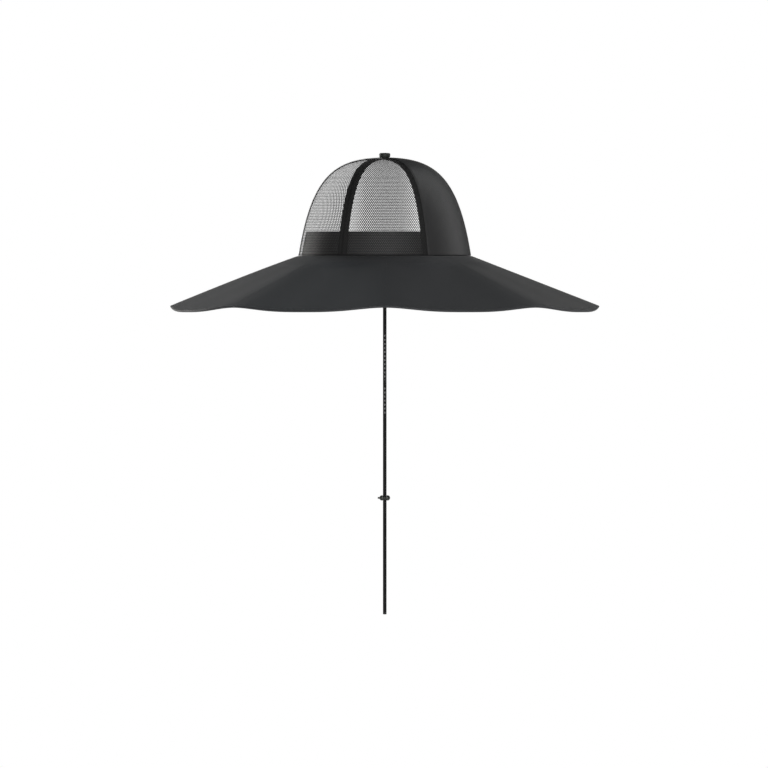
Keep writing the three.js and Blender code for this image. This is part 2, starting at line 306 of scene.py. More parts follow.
def cordLine(perSpan):
    # a smooth line through the route's points, with its knots spaced by the root of their distance
    half = [Vector((0, sideways, height)) for sideways, height in cordRoute]
    points = half + [Vector((0, -spot.y, spot.z)) for spot in reversed(half[:-1])]
    ends = [2 * points[0] - points[1]] + points + [2 * points[-1] - points[-2]]
    line = []
    for index in range(len(points) - 1):
        before, start, stop, after = ends[index:index + 4]
        spans = ((before, start), (start, stop), (stop, after))
        knotA, knotB, knotC = (math.sqrt((end - begin).length) for begin, end in spans)
        straight = (stop - start) / knotB
        leave = knotB * ((start - before) / knotA - (stop - before) / (knotA + knotB) + straight)
        arrive = knotB * (straight - (after - start) / (knotB + knotC) + (after - stop) / knotC)
        for step in range(perSpan):
            t = step / perSpan
            line.append(
                (2 * t**3 - 3 * t**2 + 1) * start + (t**3 - 2 * t**2 + t) * leave
                + (3 * t**2 - 2 * t**3) * stop + (t**3 - t**2) * arrive
            )
    return line + [points[-1]]


def evenly(line, count):
    places = np.array(line)
    lengths = np.concatenate([[0], np.cumsum(np.linalg.norm(np.diff(places, axis=0), axis=1))])
    wanted = np.linspace(0, lengths[-1], count)
    spread = np.stack([np.interp(wanted, lengths, places[:, axis]) for axis in range(3)], axis=1)
    return spread, lengths[-1]


def cordMaterial():
    material, tree, shader = newMaterial("cordWeave")
    coordinates = addNode(tree, "ShaderNodeTexCoord")
    parts = addNode(tree, "ShaderNodeSeparateXYZ")
    tree.links.new(coordinates.outputs["UV"], parts.inputs[0])
    across, along = parts.outputs[0], parts.outputs[1]
    # herringbone: slanting ribs that turn back at the middle of each face
    folded = maths(tree, "PINGPONG", across, chinCord["width"] / 4)
    slant = maths(tree, "ADD", along, maths(tree, "MULTIPLY", folded, chinCord["ribSlant"]))
    ribs = maths(tree, "SINE", maths(tree, "MULTIPLY", slant, fullTurn / chinCord["braid"]))
    fuzz = noise(tree, coordinates.outputs["Object"], chinCord["fuzzScale"], 3.0)
    shade = maths(tree, "ADD", maths(tree, "MULTIPLY", ribs, chinCord["ribShade"]), fuzz)
    colour = blend(tree, shade, chinCord["dark"], chinCord["light"])
    place = addNode(tree, "ShaderNodeSeparateXYZ")
    tree.links.new(coordinates.outputs["Object"], place.inputs[0])
    depth = maths(tree, "MULTIPLY", place.outputs[2], -1)
    inRange = None
    for high, low in chinCord["marks"]:
        underHigh = maths(tree, "GREATER_THAN", depth, high)
        within = maths(tree, "MULTIPLY", underHigh, maths(tree, "LESS_THAN", depth, low))
        inRange = within if inRange is None else maths(tree, "ADD", inRange, within)
    phase = maths(tree, "MODULO", along, chinCord["markPitch"])
    isDash = maths(tree, "LESS_THAN", phase, chinCord["markLength"])
    isMiddle = maths(tree, "LESS_THAN", maths(tree, "ABSOLUTE", place.outputs[0]), chinCord["markWidth"] / 2)
    mask = maths(tree, "MULTIPLY", maths(tree, "MULTIPLY", inRange, isDash), isMiddle)
    tree.links.new(blend(tree, mask, colour, chinCord["mark"]), shader.inputs["Base Color"])
    tree.links.new(bump(tree, ribs, chinCord["bump"]), shader.inputs["Normal"])
    shader.inputs["Roughness"].default_value = chinCord["roughness"]
    shader.inputs["Specular IOR Level"].default_value = chinCord["gloss"]
    shader.inputs["Sheen Weight"].default_value = chinCord["sheen"]
    return material


def makeChinCord():
    line, length = evenly(cordLine(24), chinCord["rings"] + 1)
    along = np.gradient(line, axis=0)
    along /= np.linalg.norm(along, axis=1)[:, None]

    def spot(across, up):
        ring = round(up * chinCord["rings"])
        angle = across * fullTurn
        power = 2 / chinCord["corner"]
        wide = math.copysign(abs(math.cos(angle)) ** power, math.cos(angle)) * chinCord["width"] / 2
        deep = math.sin(angle) * chinCord["thick"] / 2
        outward = Vector(along[ring]).cross(Vector((1, 0, 0)))
        return Vector(line[ring]) + Vector((wide, 0, 0)) + outward * deep

    bm = shapedGrid(
        chinCord["sides"], chinCord["rings"], spot,
        lambda across, up: (across * 2 * chinCord["width"], up * length), closed=True,
    )
    bmesh.ops.holes_fill(bm, edges=[edge for edge in bm.edges if edge.is_boundary], sides=0)
    bmesh.ops.recalc_face_normals(bm, faces=bm.faces)
    piece = makePiece("chin_cord_woven", bm, cordMaterial(), ["chin_cord"])
    makeCordLock()


# The spring lock: a two-lobed moulding with a flared passage for the cord, and the sliding frame with its nub
cordLock = {
    "height": -0.2956, "halfLength": 0.0066, "halfHeight": 0.00325, "waist": 0.0026, "halfDepth": 0.0046,
    "squareness": 3.0, "pinch": 0.2, "pinchReach": 0.0018,
    "passage": (0.00235, 0.002), "passagePower": 4, "passageReach": 0.005,
    "flare": 0.35, "flareStart": 0.0016, "notchRadius": 0.0024, "notchTop": 0.0012, "notchFoot": -0.0022,
    "notchSquareness": 2.6, "notchReach": 0.006,
    "frameRoom": ((-0.00455, -0.00305, -0.00125), (0.00475, 0.00305, 0.00125)),
    "frame": ((-0.0045, -0.003, -0.0011), (0.0032, 0.003, 0.0011)),
    "frameHole": ((-0.00385, -0.002, -0.002), (0.00235, 0.002, 0.002)),
    "nubTip": -0.0087, "nubRadius": 0.0011, "nubRoom": 0.00008, "nubWay": (-0.009, -0.003), "nubRoot": 0.0003,
    "pad": (0.0016, 0.0005, 0.0008), "padSink": 0.00015, "padHeight": -0.0004,
    "sharpFrom": math.radians(28), "partingLine": 0.00008,
    "dark": (0.028, 0.032, 0.028), "light": (0.04, 0.045, 0.04), "flowScale": 160, "grainScale": 2500,
    "grainBump": 0.35, "bump": 0.00006, "roughness": 0.24, "grainRoughness": 0.16, "gloss": 0.5,
}


def plasticMaterial():
    material, tree, shader = newMaterial("lockPlastic")
    coordinates = addNode(tree, "ShaderNodeTexCoord")
    parts = addNode(tree, "ShaderNodeSeparateXYZ")
    tree.links.new(coordinates.outputs["Object"], parts.inputs[0])
    grain = noise(tree, coordinates.outputs["Object"], cordLock["grainScale"], 2.0)
    flow = noise(tree, coordinates.outputs["Object"], cordLock["flowScale"], 1.0)
    tree.links.new(blend(tree, flow, cordLock["dark"], cordLock["light"]), shader.inputs["Base Color"])
    rough = maths(tree, "MULTIPLY", grain, cordLock["grainRoughness"])
    tree.links.new(maths(tree, "ADD", rough, cordLock["roughness"]), shader.inputs["Roughness"])
    seam = maths(tree, "LESS_THAN", maths(tree, "ABSOLUTE", parts.outputs[1]), cordLock["partingLine"])
    height = maths(tree, "SUBTRACT", maths(tree, "MULTIPLY", grain, cordLock["grainBump"]), seam)
    tree.links.new(bump(tree, height, cordLock["bump"]), shader.inputs["Normal"])
    shader.inputs["Specular IOR Level"].default_value = cordLock["gloss"]
    return material


def lockReach():
    # how far the two-lobed outline reaches in every direction from its middle
    high = cordLock["halfHeight"]
    lobe = cordLock["halfLength"] - high
    outline = []
    for step in range(65):
        angle = math.radians(-90 + 180 * step / 64)
        outline.append((lobe + high * math.cos(angle), high * math.sin(angle)))
    for step in range(1, 64):
        t = step / 64
        height = high * ((1 - t)**2 + t**2) + 2 * t * (1 - t) * cordLock["waist"]
        outline.append((lobe * (1 - 2 * t), height))
    outline += [(-across, -up) for across, up in outline]
    angles = np.array([math.atan2(up, across) for across, up in outline])
    reaches = np.array([math.hypot(across, up) for across, up in outline])
    order = np.argsort(angles)
    return angles[order], reaches[order]


def barThrough(sections, axis):
    # a closed bar through sections of (place along it, half width, half height, squareness)
    around = 4 * max(wide + high for place, wide, high, square in sections)

    def spot(across, up):
        place, wide, high, square = sections[round(up * (len(sections) - 1))]
        angle = across * fullTurn
        first = math.copysign(abs(math.cos(angle)) ** (2 / square), math.cos(angle)) * wide
        second = math.copysign(abs(math.sin(angle)) ** (2 / square), math.sin(angle)) * high
        spots = {"x": (place, first, second), "y": (first, place, second), "z": (first, second, place)}
        return Vector(spots[axis])

    def cloth(across, up):
        return across * around, sections[round(up * (len(sections) - 1))][0]

    bm = shapedGrid(48, len(sections) - 1, spot, cloth, closed=True)
    bmesh.ops.holes_fill(bm, edges=[edge for edge in bm.edges if edge.is_boundary], sides=0)
    bmesh.ops.recalc_face_normals(bm, faces=bm.faces)
    return bm


def lockBox(low, high):
    bm = bmesh.new()
    bmesh.ops.create_cube(bm, size=1)
    bmesh.ops.scale(bm, verts=bm.verts, vec=Vector(high) - Vector(low))
    bmesh.ops.translate(bm, verts=bm.verts, vec=(Vector(high) + Vector(low)) / 2)
    return bm


def carve(bm, cutters):
    # takes the cutters' shapes out of the solid, and marks the edges that this leaves sharp
    def temporary(solid):
        mesh = bpy.data.meshes.new("blank")
        solid.to_mesh(mesh)
        solid.free()
        blank = bpy.data.objects.new("blank", mesh)
        scene.collection.objects.link(blank)
        return blank

    blanks = [temporary(solid) for solid in [bm] + cutters]
    for cutter in blanks[1:]:
        cut = blanks[0].modifiers.new("cut", "BOOLEAN")
        cut.operation = "DIFFERENCE"
        cut.solver = "EXACT"
        cut.object = cutter
    carved = bmesh.new()
    carved.from_object(blanks[0], bpy.context.evaluated_depsgraph_get())
    for blank in blanks:
        mesh = blank.data
        bpy.data.objects.remove(blank)
        bpy.data.meshes.remove(mesh)
    for edge in carved.edges:
        edge.smooth = len(edge.link_faces) == 2 and edge.calc_face_angle() < cordLock["sharpFrom"]
    return carved


def makeCordLock():
    plastic = plasticMaterial()
    angles, reaches = lockReach()
    square = cordLock["squareness"]
    shell = bmesh.new()
    bmesh.ops.create_uvsphere(shell, u_segments=96, v_segments=64, radius=1)
    bmesh.ops.rotate(shell, verts=shell.verts, matrix=Matrix.Rotation(math.radians(90), 3, "X"))
    for vertex in shell.verts:
        across, deep, up = vertex.co
        reach = float(np.interp(math.atan2(up, across), angles, reaches, period=fullTurn))
        flat = math.hypot(across, up) / reach
        size = (flat**square + (abs(deep) / cordLock["halfDepth"])**square)**(1 / square)
        vertex.co = vertex.co / size
        vertex.co.y *= 1 - cordLock["pinch"] * math.exp(-(vertex.co.x / cordLock["pinchReach"])**2)
    wide, deep = cordLock["passage"]
    passage = []
    for step in range(-12, 13):
        height = step / 12 * cordLock["passageReach"]
        flared = max(abs(height) - cordLock["flareStart"], 0) * cordLock["flare"]
        passage.append((height, wide + flared, deep + flared, cordLock["passagePower"]))
    radius, reach, notchSquare = cordLock["notchRadius"], cordLock["notchReach"], cordLock["notchSquareness"]
    notches = []
    for height in (cordLock["notchTop"] + radius, cordLock["notchFoot"] - radius):
        notch = barThrough([(end, radius, radius, notchSquare) for end in (-reach, reach)], "y")
        bmesh.ops.translate(notch, verts=notch.verts, vec=(0, 0, height))
        notches.append(notch)
    bore = cordLock["nubRadius"] + cordLock["nubRoom"]
    nubWay = barThrough([(end, bore, bore, 2) for end in cordLock["nubWay"]], "x")
    body = carve(shell, [barThrough(passage, "z"), lockBox(*cordLock["frameRoom"]), nubWay, *notches])
    for side in (-1, 1):
        # a raised oval pad in the middle of each face
        face = cordLock["halfDepth"] * (1 - cordLock["pinch"]) - cordLock["padSink"]
        place = Matrix.Translation((0, side * face, cordLock["padHeight"]))
        size = Matrix.Diagonal((*cordLock["pad"], 1))
        bmesh.ops.create_uvsphere(body, u_segments=32, v_segments=16, radius=1, matrix=place @ size)
    bmesh.ops.translate(body, verts=body.verts, vec=(0, 0, cordLock["height"]))
    shellPiece = makePiece("cord_lock_body_moulded", body, plastic, ["cord_lock_body"])

    slider = carve(lockBox(*cordLock["frame"]), [lockBox(*cordLock["frameHole"])])
    radius, tip = cordLock["nubRadius"], cordLock["nubTip"]
    sections = []
    for angle in (0.3, 0.6, 0.9, 1.2, math.pi / 2):
        # the nub's rounded end
        wide = radius * math.sin(angle)
        sections.append((tip + radius * 0.5 * (1 - math.cos(angle)), wide, wide, 2))
    sections.append((cordLock["frame"][0][0] + cordLock["nubRoot"], radius, radius, 2))
    joinInto(slider, barThrough(sections, "x"))
    bmesh.ops.translate(slider, verts=slider.verts, vec=(0, 0, cordLock["height"]))
    button = makePiece(
        "cord_lock_button_moulded", slider, plastic, ["cord_lock_button"], body="lock_button",
    )
    return [shellPiece, button]


makeChinCord()
print("chin cord woven and its lock put on")

# The crown's outline from its foot to the top, and its plan, which is the same oval at every height
crown = {
    "halfLength": 0.1054, "halfWidth": 0.0884, "height": 0.1198, "wallLean": math.radians(9),
    "wallReach": 0.0975, "topReach": 0.0615, "topHole": 0.0033,
}
narrowing = crown["halfWidth"] / crown["halfLength"]


def crownTables():
    t = np.linspace(0, 1, 4001)
    lean = crown["halfLength"] - crown["wallReach"] * math.tan(crown["wallLean"])
    foot, wall, bend, top = (1 - t)**3, 3 * (1 - t)**2 * t, 3 * (1 - t) * t**2, t**3
    radius = foot * crown["halfLength"] + wall * lean + bend * crown["topReach"]
    height = wall * crown["wallReach"] + bend * crown["height"] + top * crown["height"]
    climb = np.concatenate([[0], np.cumsum(np.hypot(np.diff(radius), np.diff(height)))])
    return radius, height, climb, np.gradient(radius, climb), np.gradient(height, climb)


outlineRadius, outlineHeight, outlineClimb, outlineIn, outlineUp = crownTables()
planAngles = np.linspace(0, fullTurn, 7201)
planStretch = np.hypot(np.sin(planAngles), narrowing * np.cos(planAngles))
planLengths = np.concatenate([[0], np.cumsum((planStretch[1:] + planStretch[:-1]) / 2 * planAngles[1])])
topClimb = float(np.interp(-crown["topHole"], -outlineRadius, outlineClimb))


def crownNormals(angles, climbs):
    inwards = np.interp(climbs, outlineClimb, outlineIn)
    upwards = np.interp(climbs, outlineClimb, outlineUp)
    normals = np.stack([
        narrowing * np.cos(angles) * upwards, np.sin(angles) * upwards, -narrowing * inwards,
    ], axis=-1)
    return normals / np.linalg.norm(normals, axis=-1, keepdims=True)


def crownSpots(angles, climbs, depths):
    # places at a distance up the cloth from the crown's foot, and at a depth under its outer face
    radius = np.interp(climbs, outlineClimb, outlineRadius)
    height = np.interp(climbs, outlineClimb, outlineHeight)
    spots = np.stack([radius * np.cos(angles), narrowing * radius * np.sin(angles), height], axis=-1)
    spots = spots - crownNormals(angles, climbs) * np.asarray(depths)[..., None]
    spots[..., 2] = np.maximum(spots[..., 2], 0)
    return spots


def turnFor(distance, angle, climb):
    # the turn round the crown that a sideways distance on the cloth takes
    radius = max(float(np.interp(climb, outlineClimb, outlineRadius)), crown["topHole"])
    return distance / (radius * math.hypot(math.sin(angle), narrowing * math.cos(angle)))


frontPanel = {
    "columns": 60, "rows": 90, "thick": 0.0016, "seamGap": 0.0001, "seamDip": 0.0005, "dipWidth": 0.0016,
    "edge": 0.00025,
    "seams": {"front_panel_left": (0, 60), "front_panel_right": (300, 360)},
}


def makeFrontPanels():
    for node, (fromSeam, toSeam) in frontPanel["seams"].items():
        start, stop = math.radians(fromSeam), math.radians(toSeam)

        def spot(across, up):
            climb = up * topClimb
            first = start + turnFor(frontPanel["seamGap"], start, climb)
            last = stop - turnFor(frontPanel["seamGap"], stop, climb)
            angle = first + (last - first) * across
            nearest = min(angle - first, last - angle) / turnFor(1, angle, climb)
            dip = frontPanel["seamDip"] * math.exp(-(nearest / frontPanel["dipWidth"])**2)
            return crownSpots(angle, climb, dip)

        def cloth(across, up):
            width = (stop - start) * float(np.interp(up * topClimb, outlineClimb, outlineRadius))
            return (across - 0.5) * width, up * topClimb

        bm = shapedGrid(frontPanel["columns"], frontPanel["rows"], spot, cloth, rounded="sides")
        piece = makePiece(f"{node}_cloth", bm, frontCloth, [node])
        thicken(piece, frontPanel["thick"], frontPanel["edge"])


makeFrontPanels()
print("front panels sewn")

# The mesh: openings in staggered rows, a little wider apart on the hat's right-hand side
meshPanel = {
    "pitchUp": 0.002, "strand": 0.0006, "thick": 0.0001, "depth": 0.0003,
    "margin": 0.0012, "footMargin": 0.00156, "widestTurn": math.radians(14),
    "sideHalfWidth": 0.06, "backHalfWidth": 0.115, "shortest": 0.00002,
    "pitchAcross": {
        "side_mesh_left": 0.0024, "side_mesh_right": 0.00246,
        "back_mesh_left": 0.002455, "back_mesh_right": 0.00247,
    },
    "seams": {
        "side_mesh_left": (60, 120), "back_mesh_left": (120, 180),
        "back_mesh_right": (180, 240), "side_mesh_right": (240, 300),
    },
}


def flatNet(halfWidth, height, pitchAcross, firstShift):
    # six-sided openings, each with half of the strands round it, laid in rows
    bm = bmesh.new()
    bmesh.ops.create_circle(bm, cap_ends=True, segments=6, radius=1)
    size = (pitchAcross / math.sqrt(3), meshPanel["pitchUp"] * 2 / 3, 1)
    bmesh.ops.scale(bm, verts=bm.verts, vec=size)
    bmesh.ops.inset_individual(bm, faces=bm.faces, thickness=meshPanel["strand"] / 2, use_even_offset=True)
    middle = min(bm.faces, key=lambda face: face.calc_center_median().length)
    bmesh.ops.delete(bm, geom=[middle], context="FACES_ONLY")
    columns = 2 * math.ceil(halfWidth / pitchAcross) + 1
    rows = math.ceil(height / meshPanel["pitchUp"]) + 2
    bmesh.ops.translate(bm, verts=bm.verts, vec=(-(columns - 1) / 2 * pitchAcross, 0, 0))
    cell = list(bm.verts) + list(bm.edges) + list(bm.faces)
    for column in range(1, columns):
        copy = bmesh.ops.duplicate(bm, geom=cell)["geom"]
        moved = [part for part in copy if isinstance(part, bmesh.types.BMVert)]
        bmesh.ops.translate(bm, verts=moved, vec=(column * pitchAcross, 0, 0))
    row = list(bm.verts) + list(bm.edges) + list(bm.faces)
    for number in range(1, rows):
        copy = bmesh.ops.duplicate(bm, geom=row)["geom"]
        moved = [part for part in copy if isinstance(part, bmesh.types.BMVert)]
        shift = pitchAcross / 2 * ((number + firstShift) % 2)
        bmesh.ops.translate(bm, verts=moved, vec=(shift, number * meshPanel["pitchUp"], 0))
    bmesh.ops.remove_doubles(bm, verts=bm.verts, dist=pitchAcross / 50)
    return bm


def layNetOnCrown(bm, start, stop, grain):
    # the knit runs plumb at the grain's angle; the strands that cross a seam end on it
    layer = bm.loops.layers.uv.new("cloth")
    flat = np.array([vertex.co[:2] for vertex in bm.verts])
    climbs = np.clip(flat[:, 1], 0, topClimb)
    radius = np.interp(climbs, outlineClimb, outlineRadius)
    middle = np.interp(grain, planAngles, planLengths)
    angles = np.interp(middle + flat[:, 0] / radius, planLengths, planAngles)
    reach = middle + flat[:, 0] / radius
    beyond = (angles <= start) | (angles >= stop) | (reach <= 0) | (reach >= planLengths[-1])
    beyond |= (flat[:, 1] < 0) | (flat[:, 1] > topClimb)
    bm.verts.index_update()
    for face in bm.faces:
        for loop in face.loops:
            loop[layer].uv = flat[loop.vert.index]
    lost = [face for face in bm.faces if all(beyond[vertex.index] for vertex in face.verts)]
    spots = crownSpots(np.clip(angles, start, stop), climbs, np.full(len(climbs), meshPanel["depth"]))
    for vertex, place in zip(bm.verts, spots):
        vertex.co = place
    bmesh.ops.delete(bm, geom=lost, context="FACES")
    bmesh.ops.dissolve_degenerate(bm, edges=bm.edges, dist=meshPanel["shortest"])


def addMargin(bm, start, stop):
    # the folded margins that bind the net along both seams and at its foot
    def seamStrip(seam, side):
        def spot(across, up):
            climb = up * topClimb
            turn = min(turnFor(meshPanel["margin"], seam, climb), meshPanel["widestTurn"])
            return crownSpots(seam + side * turn * (1 - across if side > 0 else across), climb, 0)
        return shapedGrid(1, 80, spot, lambda across, up: (across * meshPanel["margin"], up * topClimb))

    def footSpot(across, up):
        return crownSpots(start + (stop - start) * across, up * meshPanel["footMargin"], 0)

    strips = [
        seamStrip(start, 1), seamStrip(stop, -1),
        shapedGrid(60, 1, footSpot, lambda across, up: (across * 0.1, up * meshPanel["margin"])),
    ]
    for strip in strips:
        joinInto(bm, strip)


def makeMeshPanels():
    for node, (fromSeam, toSeam) in meshPanel["seams"].items():
        start, stop = math.radians(fromSeam), math.radians(toSeam)
        isSide = node.startswith("side")
        grain = (start + stop) / 2 if isSide else math.pi
        shift = 1 if node == "side_mesh_left" else 0
        halfWidth = meshPanel["sideHalfWidth" if isSide else "backHalfWidth"]
        bm = flatNet(halfWidth, topClimb, meshPanel["pitchAcross"][node], shift)
        layNetOnCrown(bm, start, stop, grain)
        addMargin(bm, start, stop)
        piece = makePiece(f"{node}_net", bm, netYarn, [node], smooth=False)
        wall = piece.modifiers.new("wall", "SOLIDIFY")
        wall.thickness = meshPanel["thick"]
        wall.offset = -1


makeMeshPanels()
print("mesh panels knitted")

seamTape = {
    "width": 0.012, "depthUnderCloth": 0.0019, "depthUnderMesh": 0.0006, "thick": 0.0009,
    "topRadius": 0.007, "widestTurn": math.radians(28), "columns": 12, "rows": 90, "edge": 0.0002,
    "seams": {
        "seam_tape_front": 0, "seam_tape_front_left": 60, "seam_tape_back_left": 120,
        "seam_tape_back": 180, "seam_tape_back_right": 240, "seam_tape_front_right": 300,
    },
}
tapeClimb = float(np.interp(-seamTape["topRadius"], -outlineRadius, outlineClimb))


def makeSeamTapes():
    for node, degrees in seamTape["seams"].items():
        seam = math.radians(degrees)
        depth = seamTape["depthUnderMesh" if "back" in node else "depthUnderCloth"]

        def spot(across, up):
            climb = up * tapeClimb
            turn = min(turnFor(seamTape["width"] / 2, seam, climb), seamTape["widestTurn"])
            # at the very top every tape dips under the others' cloth
            dip = (seamTape["depthUnderCloth"] - depth) * up**8
            return crownSpots(seam + turn * (2 * across - 1), climb, depth + dip)

        def cloth(across, up):
            return across * seamTape["width"], up * tapeClimb

        bm = shapedGrid(seamTape["columns"], seamTape["rows"], spot, cloth, rounded="sides")
        piece = makePiece(f"{node}_twill", bm, tapeTwill, [node])
        thicken(piece, seamTape["thick"], seamTape["edge"])


makeSeamTapes()
print("seam tapes laid")

sweatband = {"height": 0.0304, "setIn": 0.004, "thick": 0.0015, "columns": 240, "rows": 24, "edge": 0.0006}


def makeSweatband():
    topOfBand = float(np.interp(sweatband["height"], outlineHeight, outlineClimb))

    def spot(across, up):
        return crownSpots(across * fullTurn, up * topOfBand, sweatband["setIn"])

    def cloth(across, up):
        return across * fullTurn * crown["halfLength"], up * topOfBand

    bm = shapedGrid(sweatband["columns"], sweatband["rows"], spot, cloth, closed=True, rounded="top")
    piece = makePiece("sweatband_cloth", bm, bandCloth, ["sweatband"])
    thicken(piece, sweatband["thick"], sweatband["edge"])


makeSweatband()
print("sweatband sewn")

topButton = {
    "foot": 0.1196, "height": 0.0056, "radius": 0.0069, "stem": 0.0024, "under": 0.1178,
    "tuck": ((0.0053, 0), (0.0061, 0.0004), (0.0066, 0.001)), "rounding": 0.002,
    "steps": 72, "gathers": 18, "gatherDepth": 0.00022,
}


def makeTopButton():
    # the outline is spun round the hat's middle
    foot, top = topButton["foot"], topButton["foot"] + topButton["height"]
    outline = [(0, topButton["under"]), (topButton["stem"], topButton["under"]), (topButton["stem"], foot)]
    outline += [(radius, foot + rise) for radius, rise in topButton["tuck"]]
    rounding = topButton["rounding"]
    for step in range(9):
        angle = math.radians(90 * step / 8)
        outline.append((
            topButton["radius"] - rounding * (1 - math.cos(angle)), top - rounding * (1 - math.sin(angle)),
        ))
    outline.append((0, top + 0.0002))
    bm = bmesh.new()
    corners = [bm.verts.new((radius, 0, height)) for radius, height in outline]
    edges = [bm.edges.new(pair) for pair in zip(corners, corners[1:])]
    bmesh.ops.spin(
        bm, geom=corners + edges, cent=(0, 0, 0), axis=(0, 0, 1), angle=fullTurn,
        steps=topButton["steps"], use_merge=True,
    )
    bmesh.ops.remove_doubles(bm, verts=bm.verts, dist=1e-6)
    bmesh.ops.recalc_face_normals(bm, faces=bm.faces)
    layer = bm.loops.layers.uv.new("cloth")
    for face in bm.faces:
        for loop in face.loops:
            loop[layer].uv = loop.vert.co.xy
    for vertex in bm.verts:
        radius = vertex.co.xy.length
        if radius > topButton["stem"] * 1.1 and vertex.co.z < foot + 0.002:
            angle = math.atan2(vertex.co.y, vertex.co.x)
            pull = topButton["gatherDepth"] * math.cos(topButton["gathers"] * angle)
            vertex.co.xy = vertex.co.xy * (1 - pull / radius)
    piece = makePiece("top_button_covered", bm, buttonCloth, ["top_button"])
    smooth = piece.modifiers.new("smooth", "SUBSURF")
    smooth.levels = smooth.render_levels = 1


makeTopButton()
print("top button covered")

brim = {
    "lobes": 8, "width": 0.157, "fall": 0.061, "lobeSag": 0.0055, "sagPower": 0.6, "ridgePower": 1.5,
    "halfLength": 0.105, "halfWidth": 0.088, "seamMargin": 0.0006, "drop": 0.0003, "thick": 0.0028,
    "innerEdge": 0.0052, "seamGap": 0.00001, "lobesFrom": 0.018, "lobesFull": 0.034, "backRise": 0.0011,
    "columns": 52, "rows": 72, "edge": 0.0007,
}


def lobeShape(angle):
    # 0 on a ridge, 1 half-way to the next
    lobe = fullTurn / brim["lobes"]
    fromRidge = abs(angle - round(angle / lobe) * lobe) / (lobe / 2)
    return math.sin(math.pi / 2 * (1 - (1 - fromRidge)**brim["ridgePower"]))**2


def brimSpot(angle, distance):
    # the lobes form past a round strip of plain slope beside the crown, and the back is a little fuller
    beyond = max(distance - brim["seamMargin"], 0) / (brim["width"] - brim["seamMargin"])
    past = (distance - brim["lobesFrom"]) / (brim["lobesFull"] - brim["lobesFrom"])
    past = min(max(past, 0), 1)
    lobes = beyond**brim["sagPower"] * past * past * (3 - 2 * past)
    fall = brim["fall"] * beyond + brim["lobeSag"] * lobes * lobeShape(angle)
    rise = brim["backRise"] * (0.5 - 0.5 * math.cos(angle))**2 * math.sin(math.pi * beyond**0.8)
    return Vector((
        (brim["halfLength"] + distance) * math.cos(angle),
        (brim["halfWidth"] + distance) * math.sin(angle),
        rise - brim["drop"] - fall,
    ))


def brimNormal(angle, distance):
    step = 0.0005
    turn = step / (brim["halfWidth"] + distance)
    around = brimSpot(angle + turn, distance) - brimSpot(angle - turn, distance)
    outwards = brimSpot(angle, distance + step) - brimSpot(angle, distance - step)
    return outwards.cross(around).normalized()


def makeBrim():
    lobe = fullTurn / brim["lobes"]
    reach = brim["width"] + brim["innerEdge"]
    for number in range(brim["lobes"]):
        start, stop = number * lobe, (number + 1) * lobe

        def spot(across, up):
            distance = brim["width"] - up * reach
            inset = brim["seamGap"] / (brim["halfWidth"] + distance)
            return brimSpot(start + inset + (lobe - 2 * inset) * across, distance)

        def cloth(across, up):
            place = Matrix.Rotation(-(start + stop) / 2, 3, "Z") @ spot(across, up)
            return place.y, place.x

        bm = shapedGrid(brim["columns"], brim["rows"], spot, cloth, rounded="foot")
        node = f"brim_gore_{number + 1}"
        piece = makePiece(f"{node}_cloth", bm, brimCloth, [node])
        thicken(piece, brim["thick"], brim["edge"])


makeBrim()
print("brim gores sewn")

cordTab = {
    "width": 0.01, "height": 0.012, "thick": 0.003, "sideways": 0.0855, "top": -0.0029, "fold": 0.0007,
    "squareness": 7, "foldPull": 0.3, "sidePull": 0.04, "seamInset": 0.0017,
    "stitch": {"length": 0.0016, "width": 0.0004, "rise": 0.0002, "pitch": 0.0021},
}


def makeCordTabs():
    foot = cordTab["top"] - cordTab["height"]
    for name, side in (("left", 1), ("right", -1)):
        sections = []
        for step in range(25):
            share = step / 24
            nearEnd = min(share, 1 - share) * cordTab["height"] / cordTab["fold"]
            pull = 1 - cordTab["foldPull"] * max(1 - nearEnd, 0)**2
            sidePull = 1 - cordTab["sidePull"] * (1 - pull)
            sections.append((
                foot + share * cordTab["height"], cordTab["width"] / 2 * sidePull,
                cordTab["thick"] / 2 * pull, cordTab["squareness"],
            ))
        bm = barThrough(sections, "z")
        bmesh.ops.translate(bm, verts=bm.verts, vec=(0, side * cordTab["sideways"], 0))
        makePiece(f"cord_tab_{name}_folded", bm, tapeTwill, [f"cord_tab_{name}"])


makeCordTabs()
print("cord tabs folded")

# Rows of thread, tone on tone, each stitch a slim bead lying half in the cloth
stitching = {
    "brim": {"length": 0.0021, "width": 0.00042, "rise": 0.00016, "pitch": 0.0028},
    "crown": {"length": 0.002, "width": 0.0004, "rise": 0.00015, "pitch": 0.0027},
    "inside": {"length": 0.0021, "width": 0.00042, "rise": 0.00016, "pitch": 0.0029},
    "hemInset": 0.0052, "besideSeam": 0.0019, "tapeInset": 0.0012, "bandFoot": 0.004, "bandTop": 0.0265,
    "brimStart": 0.004, "brimShort": 0.006, "crownStart": 0.003, "crownSink": 0.0001, "tapeShare": 0.8,
}


def brimRows():
    stitch, lobe = stitching["brim"], fullTurn / brim["lobes"]
    hemAt = brim["width"] - stitching["hemInset"]
    rows = []
    for under in (False, True):
        path = []
        for step in range(721):
            angle = fullTurn * step / 720
            outward = brimNormal(angle, hemAt)
            place = brimSpot(angle, hemAt) - outward * (brim["thick"] if under else 0)
            path.append((place, -outward if under else outward))
        rows += stitchesAlong(path, stitch)
    for number in range(brim["lobes"]):
        for side in (-1, 1):
            path = []
            for step in range(61):
                distance = stitching["brimStart"] + (hemAt - stitching["brimShort"]) * step / 60
                angle = number * lobe + side * stitching["besideSeam"] / (brim["halfWidth"] + distance)
                path.append((brimSpot(angle, distance), brimNormal(angle, distance)))
            rows += stitchesAlong(path, stitch)
    return rows


